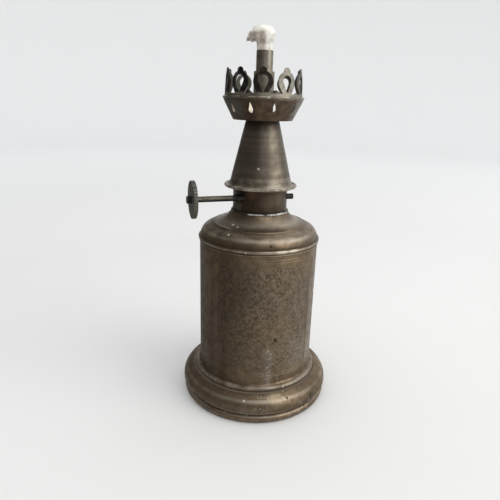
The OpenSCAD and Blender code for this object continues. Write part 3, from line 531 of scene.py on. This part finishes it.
def dress_metal():
    """Gives every CAD node its own finish."""
    brass = lambda name, **more: patina(name, BASE, WARM, DARK, **more)
    umber = lambda name, **more: patina(name, UMBER, UMBER_WARM, UMBER_DARK, **more)
    grey = lambda name, **more: patina(name, GREY, GREY_WARM, GREY_DARK, **more)
    soot = lambda name, **more: patina(name, SOOT, SOOT_WARM, SOOT_DARK, **more)
    finishes = {
        # The dark ring at the moulding's edge is painted shade, and the pale rings of dust are painted to lift the
        # shade in the creases.
        "foot_shell": brass(
            "foot_patina", crests=[(38.3, 3.8, 1.0), (37.6, 12.0, 1.5)],
            grooves=[(39.4, 7.6, 1.6)], grime_share=0.35, dust=[(31.9, 16.4, 1.9, 0.75), (38.4, 3.9, 0.9, 0.3)],
            soil=[(32.9, 13.7, 1.5), (37.0, 5.2, 1.7)], clouds=FOOT_CLOUDS,
            pale=FOOT_PALE, pits=FOOT_PITS, speckled=FOOT_SPECKS, dents=0.25, spun=0.15, rough=0.47,
        ),
        # The dark ring under the seam bead is painted shade.
        "body_wall": brass(
            "wall_patina", grooves=[(30.4, WALL_TOP_Z, 0.7)], pits=WALL_PITS, pale=WALL_PALE,
            stains=WALL_STAINS, streaks=0.4, panel=True, dents=0.30, clouds=WALL_CLOUDS,
        ),
        "seam_bead": brass("bead_patina", rubbed=[(31.6, 87.2, 0.9)], dust=[(31.6, 87.2, 1.3, 0.6)], pale=BEAD_PALE, clouds=BEAD_CLOUDS),
        # The dark ring just above the seam bead is painted shade. The broad pale rings lighten the whole flare under
        # the neck.
        "shoulder_dome": brass(
            "dome_patina", crests=[(19.0, 96.6, 4.2), (28.6, 91.8, 1.8)],
            rubbed=[(18.4, 96.8, 4.6)], grooves=[(30.3, 88.3, 1.9)], dust=[(27.2, 92.6, 4.0, 0.4)], pale=DOME_PALE, pits=DOME_PITS, speckled=DOME_SPECKS, dents=0.16, spun=0.25,
        ),
        # The wide dark ring at the top is the cup's shadow, painted.
        "cone": patina(
            "cone_patina", (0.156, 0.134, 0.104, 1), (0.168, 0.140, 0.100, 1), GREY_DARK,
            rubbed=[(16.9, 113.8, 1.7)], grooves=[(8.5, 144.6, 6.5)], grime_share=0.85,
            dust=[(17.0, 113.6, 2.2, 1.2), (15.2, 116.2, 3.0, 0.5)], clouds=CONE_CLOUDS,
            pale=[((-5.4, -12.2, 122.9), 0.60, 1)], pits=[((-1.9, -13.7, 121.0), 0.30, 1)],
            dents=0.10, spun=0.45, metre=1.4, mottled=0.28,
        ),
        "gallery_cup": umber(
            "cup_patina", worn=(0.19, 0.172, 0.14, 1), rubbed=[(18.9, 155.0, 1.9)], dust=[(19.0, 155.0, 1.3, 0.4)], pits=[((-2.6, -19.1, 154.9), 0.40, 0.8)],
            pale=[((-4.0, -18.8, 154.6), 0.32, 1)], clouds=CUP_CLOUDS, rough=0.45, metre=1.5, bright_inside=True,
        ),
        "gallery_crown": crown_finish(),
        # The pale patch at the tube's right is a painted highlight.
        "guide_tube": patina(
            "guide_patina", TUBE, TUBE_WARM, GREY_DARK, clouds=[((5.2, -1.8, 160.0), 6.5, (0.42, 0.39, 0.32, 1), 0.8)],
            metre=1.6, streaks=0.35, metallic=0.55, rough=0.55,
        ),
        "wick_tube": patina("wick_tube_patina", TUBE_LIGHT, TUBE, GREY_DARK, metre=1.6, streaks=0.35),
        # The dark base colour is painted shade under the cone's lip, and the dark ring at the collar's foot is painted
        # shade in the gap.
        "burner_collar": patina(
            "collar_patina", (0.062, 0.043, 0.028, 1), (0.080, 0.055, 0.034, 1), UMBER_DARK, grooves=[(13.6, 101.7, 0.8)],
            grime_share=1.0, clouds=COLLAR_CLOUDS, streaks=0.3, metre=1.4,
        ),
        "burner_top": umber("top_patina"),
        "burner_spigot": umber("spigot_patina"),
        "neck_ring": umber("neck_patina"),
        "base_plate": umber("base_patina"),
        "foot_wire": umber("wire_patina"),
        "filling_grille": umber("grille_patina"),
        "socket_spring": umber("spring_patina"),
        "spindle_ring": umber("ring_patina"),
        "wick_rack": umber("rack_patina"),
        "thumb_wheel": patina(
            "wheel_patina", (0.165, 0.160, 0.140, 1), (0.175, 0.160, 0.130, 1), (0.050, 0.047, 0.040, 1),
            rough=0.52, metre=2.0, dents=0.15,
        ),
        "spindle": shaft_finish(),
        "spindle_gland": blackened("gland_black", 0.6),
        "wheel_rivet": blackened("rivet_black"),
        "neck_solder": old_solder(),
        "gasket": leather(),
        "felt_filling": felt(),
    }
    for node, material in finishes.items():
        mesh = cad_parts[node].data
        mesh.materials.clear()
        mesh.materials.append(material)


# Pieces made here


def piece(name, mesh_builder, material, body):
    """Turns a filled bmesh, in millimetres, into a piece that rides on a body."""
    bm = mesh_builder()
    bmesh.ops.scale(bm, vec=(MM, MM, MM), verts=bm.verts)
    mesh = bpy.data.meshes.new(name)
    bm.to_mesh(mesh)
    bm.free()
    mesh.materials.append(material)
    for face in mesh.polygons:
        face.use_smooth = True
    obj = bpy.data.objects.new(name, mesh)
    bpy.context.scene.collection.objects.link(obj)
    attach(obj, body)
    return obj


def sweep(bm, path, radii, sides, closed=False):
    """A tube along a path. It is closed in a ring, or capped at both ends."""
    rings = []
    count = len(path)
    for i, point in enumerate(path):
        after = path[(i + 1) % count] if closed or i + 1 < count else point
        before = path[i - 1] if closed or i > 0 else point
        along = (after - before).normalized()
        side = along.cross(Vector((0.31, 0.17, 0.93))).normalized()
        other = along.cross(side)
        turns = [2 * math.pi * k / sides for k in range(sides)]
        rings.append([bm.verts.new(point + (side * math.cos(a) + other * math.sin(a)) * radii[i]) for a in turns])
    pairs = list(zip(rings, rings[1:] + rings[:1])) if closed else list(zip(rings, rings[1:]))
    for low, high in pairs:
        for k in range(sides):
            bm.faces.new((low[k], low[(k + 1) % sides], high[(k + 1) % sides], high[k]))
    if not closed:
        bm.faces.new(list(reversed(rings[0])))
        bm.faces.new(rings[-1])


UP = Vector((0, 0, 1))
SIDE = LEAN.cross(UP)
CAP_Z = 182.9


def bezier(a, b, c, d, steps):
    out = []
    for i in range(steps + 1):
        t = i / steps
        out.append(a * (1 - t) ** 3 + b * 3 * t * (1 - t) ** 2 + c * 3 * t * t * (1 - t) + d * t ** 3)
    return out


def wavy(path, size):
    """Small bends, so that no fibre is straight."""
    seed = Vector((rng.uniform(0, 50), rng.uniform(0, 50), rng.uniform(0, 50)))
    last = len(path) - 1
    bend = lambda p: noise.noise_vector(seed + p * 0.55) + noise.noise_vector(seed - p * 1.5) * 0.45
    return [p + bend(p) * size * (i / last) for i, p in enumerate(path)]


def strand(bm, points, thickness, wave):
    path = wavy(bezier(*points, 9), wave)
    top = HEAD_TOP_Z - thickness - 0.02
    path = [Vector((p.x, p.y, min(p.z, top))) for p in path]
    sweep(bm, path, [thickness * (1.0 - 0.55 * i / 9) for i in range(10)], 4)


def mouth_point(spread=0.95):
    angle = rng.uniform(0, 2 * math.pi)
    radius = TUBE_BORE_R * spread * math.sqrt(rng.random())
    return Vector((radius * math.cos(angle), radius * math.sin(angle), TUBE_TOP_Z - 0.8))


def wick_fibres():
    """Clumps of curly fibres: the head, the lobe that leans left, the stalk and a few wisps on the right."""
    bm = bmesh.new()
    for _ in range(84):
        turn, height, reach = rng.uniform(0, 2 * math.pi), rng.uniform(-0.8, 1.0), rng.uniform(0.80, 1.06)
        for _ in range(13):
            a = turn + rng.gauss(0, 0.13)
            high = max(-1.0, min(1.0, height + rng.gauss(0, 0.09)))
            out = Vector((math.cos(a), math.sin(a), 0)) * math.sqrt(1 - high * high) * reach * rng.uniform(0.95, 1.05)
            end = out * 5.1 + LEAN * 1.2 + UP * (CAP_Z + high * 3.3 * reach)
            crown = out * 3.3 + LEAN * 0.9 + UP * rng.uniform(184.2, 186.4)
            foot = mouth_point()
            strand(bm, (foot, foot + UP * 6.5, crown, end), rng.uniform(0.10, 0.19), 0.9)
    for _ in range(46):
        reach, aside = rng.uniform(3.4, 8.5), rng.gauss(0, 1.5)
        rise = rng.uniform(-1.0, 1.0)
        for _ in range(13):
            out = reach + rng.gauss(0, 0.25)
            half = 2.3 if out < 7.2 else 1.4
            middle = 182.0 - 2.0 * max(0.0, (out - 3.8) / 4.7) ** 1.2
            end = LEAN * out + SIDE * (aside + rng.gauss(0, 0.25)) + UP * (middle + half * rise + rng.gauss(0, 0.25))
            crown = LEAN * out * 0.60 + SIDE * (aside * 0.7 + rng.gauss(0, 0.3)) + UP * rng.uniform(182.6, 184.6)
            foot = mouth_point() + LEAN * 0.5
            strand(bm, (foot, foot + UP * 6.8, crown, end), rng.uniform(0.10, 0.17), 0.8)
    for _ in range(360):
        a = rng.uniform(0, 2 * math.pi)
        out = Vector((math.cos(a), math.sin(a), 0))
        foot = out * rng.uniform(2.7, 3.25) + UP * (TUBE_TOP_Z - 0.8)
        end = out * rng.uniform(3.2, 4.2) + UP * rng.uniform(179.2, 181.6)
        strand(bm, (foot, foot + UP * 2.6, out * 3.4 + UP * 178.6, end), rng.uniform(0.10, 0.17), 0.45)
    for _ in range(26):
        end = -LEAN * rng.uniform(4.3, 5.4) + SIDE * rng.gauss(0, 1.3) + UP * rng.uniform(180.8, 184.4)
        crown = -LEAN * 3.4 + SIDE * rng.gauss(0, 1.0) + UP * rng.uniform(183.2, 185.2)
        strand(bm, (mouth_point(), UP * 181 - LEAN, crown, end), rng.uniform(0.06, 0.10), 1.2)
    return bm


def wick_core():
    """Dense cotton inside the fibres, and the cord that runs down the tube."""
    bm = bmesh.new()
    heights = [40 + 134.6 * i / 12 for i in range(12)]
    head = [
        (174.6, 3.1), (176.5, 3.2), (178.2, 3.3), (179.4, 3.6), (180.3, 4.3), (181.2, 4.9), (182.4, 5.2),
        (183.6, 5.0), (184.5, 4.2), (185.2, 3.0), (185.6, 1.5),
    ]
    path = [Vector((0, 0, z)) for z in heights]
    path += [LEAN * max(0.0, min(0.8, (z - 179.0) * 0.3)) + UP * z for z, _ in head]
    sweep(bm, path, [3.1] * len(heights) + [r for _, r in head], 28)
    lobe = [
        (1.4, 182.5, 2.8), (3.0, 182.3, 2.7), (4.6, 181.9, 2.4), (5.8, 181.3, 2.1), (6.8, 180.6, 1.8), (7.6, 180.1, 1.2),
    ]
    sweep(bm, [LEAN * out + UP * z for out, z, _ in lobe], [r for _, _, r in lobe], 20)
    for v in bm.verts:
        if v.co.z > TUBE_TOP_Z:
            v.co += noise.noise_vector(v.co * 0.9) * 0.6 + noise.noise_vector(v.co * 2.1) * 0.25
            v.co.z = min(v.co.z, HEAD_TOP_Z - 0.3)
    return bm


def outline_on_wall(inset, radius, corner=3.2):
    """Rounded rectangle round the wall, as points on the cylinder."""
    degree_mm = math.pi * WALL_R / 180
    half_w = PANEL_HALF * degree_mm - inset
    low, high = PANEL_LOW_Z + inset, PANEL_HIGH_Z - inset
    corners = [(half_w - corner, high - corner, 0), (-half_w + corner, high - corner, 90),
               (-half_w + corner, low + corner, 180), (half_w - corner, low + corner, 270)]
    flat = []
    for cx, cz, start in corners:
        for k in range(9):
            a = math.radians(start + k * 90 / 8)
            flat.append((cx + corner * math.cos(a), cz + corner * math.sin(a)))
    dense = []
    for (ax, az), (bx, bz) in zip(flat, flat[1:] + flat[:1]):
        parts = max(1, int(math.hypot(bx - ax, bz - az) / 1.2))
        dense += [(ax + (bx - ax) * i / parts, az + (bz - az) * i / parts) for i in range(parts)]
    points = []
    for u, z in dense:
        a = math.radians(PANEL_MID) + u / WALL_R
        points.append(Vector((radius * math.cos(a), radius * math.sin(a), z)))
    return points


def wall_trim():
    """The panel's frame and the fine ridge under the seam bead."""
    bm = bmesh.new()
    turns = [2 * math.pi * k / 180 for k in range(180)]
    ridge = [Vector((30.33 * math.cos(a), 30.33 * math.sin(a), 85.5)) for a in turns]
    sweep(bm, ridge, [0.30] * len(ridge), 10, closed=True)
    for inset, size in ((0.0, 0.30), (1.3, 0.22)):
        path = outline_on_wall(inset, WALL_R - size * 0.55)
        sweep(bm, path, [size] * len(path), 8, closed=True)
    return bm


def scrap(bm, azimuth, half_deg, crest, curl):
    """Bent sliver of sheet that stands inside the crown's band. crest gives its heights over the band."""
    sheet, across, rows = 0.14, 12, 5
    rings = []
    for i in range(across + 1):
        place = i / across * (len(crest) - 1)
        k = min(int(place), len(crest) - 2)
        height = crest[k] + (crest[k + 1] - crest[k]) * (place - k)
        a = math.radians(azimuth + half_deg * (2 * i / across - 1))
        out = Vector((math.cos(a), math.sin(a), 0))
        side = []
        for j in range(rows):
            up = j / (rows - 1)
            side.append((17.75 + curl * up * up, 155.7 + (0.7 + height) * up))
        loop = [out * (r + sheet) + UP * z for r, z in side] + [out * (r - sheet) + UP * z for r, z in reversed(side)]
        rings.append([bm.verts.new(p) for p in loop])
    for low, high in zip(rings, rings[1:]):
        for k in range(len(low)):
            n = (k + 1) % len(low)
            bm.faces.new((low[k], high[k], high[n], low[n]))
    bm.faces.new(rings[0])
    bm.faces.new(list(reversed(rings[-1])))


def crown_scraps():
    """Twisted scraps of the punched sheet, left between the leaves."""
    bm = bmesh.new()
    scrap(bm, -131.5, 6.0, (0.1, 1.9, 1.5, 0.7, 0.1), -1.3)
    scrap(bm, -91.5, 7.0, (0.2, 1.3, 1.5, 0.9, 0.2), 0.6)
    scrap(bm, -49.0, 7.0, (0.1, 0.3, 0.7, 1.0, 0.5), -0.8)
    scrap(bm, 63.0, 6.0, (0.1, 0.9, 1.6, 0.4), -0.9)
    return bm


def rim_wire():
    """Loose wire in the rolled rim of the cup, slack in places."""
    bm = bmesh.new()
    path = []
    for k in range(240):
        a = 2 * math.pi * k / 240
        spot = Vector((math.cos(a), math.sin(a), 0))
        slack = noise.noise(spot * 6.0) * 0.22 + noise.noise(spot * 19.0) * 0.12
        path.append(spot * (18.95 + slack * 0.7) + UP * (154.85 + slack))
    sweep(bm, path, [0.30] * len(path), 8, closed=True)
    return bm


def neck_crumbs():
    """Bits of plaster that cling to the neck's edge at the front right."""
    bm = bmesh.new()
    for _ in range(85):
        azimuth = math.radians(rng.choice((-87, -84, -77, -70, -64, -60, -47)) + rng.gauss(0, 2.4))
        r = NECK_R + rng.uniform(0.15, 0.75)
        z = NECK_Z + 0.32 - (r - NECK_R) * 0.75 + rng.uniform(-0.05, 0.16)
        size = rng.uniform(0.14, 0.42)
        made = bmesh.ops.create_icosphere(bm, subdivisions=2, radius=size)
        centre = Vector((r * math.cos(azimuth), r * math.sin(azimuth), z))
        seed = Vector((rng.uniform(0, 90),) * 3)
        for v in made["verts"]:
            v.co *= 1 + 0.45 * noise.noise(v.co * 5 + seed)
            v.co = Vector((v.co.x * 1.25, v.co.y * 1.25, v.co.z * 0.75)) + centre
    return bm


def make_pieces():
    fibre = cotton()
    tuft = piece("wick_tuft", wick_fibres, fibre, "wick_carrier")
    core = piece("wick_core", wick_core, fibre, "wick_carrier")
    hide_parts("wick")
    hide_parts("wick")
    trim_finish = patina("trim_patina", BASE, WARM, DARK, rubbed=[(30.8, 85.5, 0.5)], streaks=0.2)
    piece("wall_trim", wall_trim, trim_finish, "reservoir")
    piece("neck_crumbs", neck_crumbs, plaster(), "reservoir")
    piece("crown_scraps", crown_scraps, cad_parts["gallery_crown"].data.materials[0], "cone_and_gallery")
    wire_finish = patina("rim_wire_patina", (0.20, 0.18, 0.15, 1), (0.24, 0.20, 0.15, 1), UMBER_DARK, metre=1.6)
    piece("rim_wire", rim_wire, wire_finish, "cone_and_gallery")


# Floor, light and background


def plain_material(name, colour, roughness, far_colour=None, dimmed=()):
    """Even matt colour, which may change with the distance from the lamp and be dimmed under a light."""
    s = Shader(name)
    tint = s.mix(s.ramp(s.noise(3, 2), 0.3, 0.7), colour, [c * 0.985 for c in colour[:3]] + [1])
    if far_colour is not None:
        tint = s.mix(s.ramp(s.r, 0.25, 1.2), tint, far_colour)
    level = s.ramp(s.z, 0.0, 0.2, 1.0, 0.0)
    for point, radius, dim_colour, share in dimmed:
        dim = s.math("MULTIPLY", s.math("MULTIPLY", s.cloud(point, radius), level), share)
        tint = s.mix(dim, tint, dim_colour)
    return s.finish(tint, roughness, s.bump(s.noise(40, 2), 0.05), 0.0)


def revolved(name, profile, steps, material):
    """Smooth surface from a profile of (radius, height) in metres. The first radius is 0."""
    bm = bmesh.new()
    rings = []
    for r, z in profile[1:]:
        turns = [2 * math.pi * k / steps for k in range(steps)]
        rings.append([bm.verts.new((r * math.cos(a), r * math.sin(a), z)) for a in turns])
    middle = bm.verts.new((0, 0, profile[0][1]))
    for k in range(steps):
        bm.faces.new((middle, rings[0][k], rings[0][(k + 1) % steps]))
    for low, high in zip(rings, rings[1:]):
        for k in range(steps):
            bm.faces.new((low[k], high[k], high[(k + 1) % steps], low[(k + 1) % steps]))
    mesh = bpy.data.meshes.new(name)
    bm.to_mesh(mesh)
    bm.free()
    mesh.materials.append(material)
    for face in mesh.polygons:
        face.use_smooth = True
    obj = bpy.data.objects.new(name, mesh)
    bpy.context.scene.collection.objects.link(obj)
    return obj


def make_floor():
    """Pale floor that curves up into a backdrop all round, far outside the views."""
    bend = [(1.4 + 0.6 * math.sin(t), 0.6 - 0.6 * math.cos(t)) for t in [math.pi / 2 * k / 12 for k in range(13)]]
    profile = [(0, 0), (0.2, 0), (0.7, 0)] + bend + [(2.0, 1.1)]
    under_window = turned((1290, -540, 0))
    material = plain_material(
        "pale_floor", (0.66, 0.66, 0.65, 1), 0.9, (0.80, 0.80, 0.80, 1),
        dimmed=[(under_window, 1400, (0.40, 0.40, 0.40, 1), 0.9)],
    )
    revolved("floor", profile, 96, material)


def aimed(obj, at=Vector((0, 0, 0.095))):
    direction = at - obj.location
    obj.rotation_mode = "QUATERNION"
    obj.rotation_quaternion = direction.to_track_quat("-Z", "Y")


def area_light(name, place, size, power, colour=(1, 1, 1)):
    data = bpy.data.lights.new(name, "AREA")
    data.shape = "DISK"
    data.size = size
    data.energy = power
    data.color = colour
    light = bpy.data.objects.new(name, data)
    light.location = turned(Vector(place))
    aimed(light)
    bpy.context.scene.collection.objects.link(light)


def shade(obj, middle=None):
    """Turns a stage object into a dark card that only the metal sees in its reflections."""
    if middle is not None:
        obj.rotation_mode = "QUATERNION"
        obj.rotation_quaternion = middle.to_track_quat("-Z", "Y")
        obj.location = (0, 0, 0.10)
    obj.visible_camera = False
    obj.visible_diffuse = False
    obj.visible_shadow = False


def dark_cards():
    """A grey hood on the left and a grey mat under it, as a studio sets them beside brass."""
    reach = math.radians(72)
    profile = [(0.34 * math.sin(reach * k / 10), -0.34 * math.cos(reach * k / 10)) for k in range(11)]
    hood = revolved("hood", profile, 48, plain_material("hood_grey", (0.135, 0.13, 0.122, 1), 0.9))
    shade(hood, turned(Vector((-0.95, -0.10, 0.34))).normalized())
    sector_card("mat", 28, 165, [(0.052, 0.0008), (0.12, 0.0008), (0.30, 0.0008)], (0.25, 0.24, 0.225, 1))
    sector_card("screen", -38, 30, [(0.30, 0.002), (0.31, 0.07), (0.30, 0.135)], (0.22, 0.21, 0.20, 1))


def sector_card(name, from_deg, to_deg, profile, colour):
    """Dark card swept round the lamp, from one angle to another to the left of the camera."""
    bm = bmesh.new()
    steps = 12
    rows = []
    for r, z in profile:
        turns = [math.radians(from_deg + (to_deg - from_deg) * k / steps) for k in range(steps + 1)]
        rows.append([bm.verts.new(turned(Vector((-r * math.sin(a), -r * math.cos(a), z)))) for a in turns])
    for low, high in zip(rows, rows[1:]):
        for k in range(steps):
            bm.faces.new((low[k], high[k], high[k + 1], low[k + 1]))
    mesh = bpy.data.meshes.new(name)
    bm.to_mesh(mesh)
    bm.free()
    mesh.materials.append(plain_material(name + "_grey", colour, 0.9))
    card = bpy.data.objects.new(name, mesh)
    bpy.context.scene.collection.objects.link(card)
    shade(card)


def make_world():
    world = bpy.data.worlds.new("world")
    bpy.context.scene.world = world
    world.use_nodes = True
    background = world.node_tree.nodes["Background"]
    background.inputs["Color"].default_value = (0.97, 0.985, 1.0, 1)
    background.inputs["Strength"].default_value = 1.0


def make_lights():
    area_light("window", (1.29, -0.54, 0.75), 1.35, 12.2, (1.0, 0.985, 0.96))
    area_light("ceiling", (0.20, -0.10, 0.85), 1.00, 2.6, (1.0, 0.99, 0.975))
    dark_cards()


make_camera()
make_floor()
make_world()
make_lights()
dress_metal()
make_pieces()

bpy.context.scene.view_settings.view_transform = "Standard"
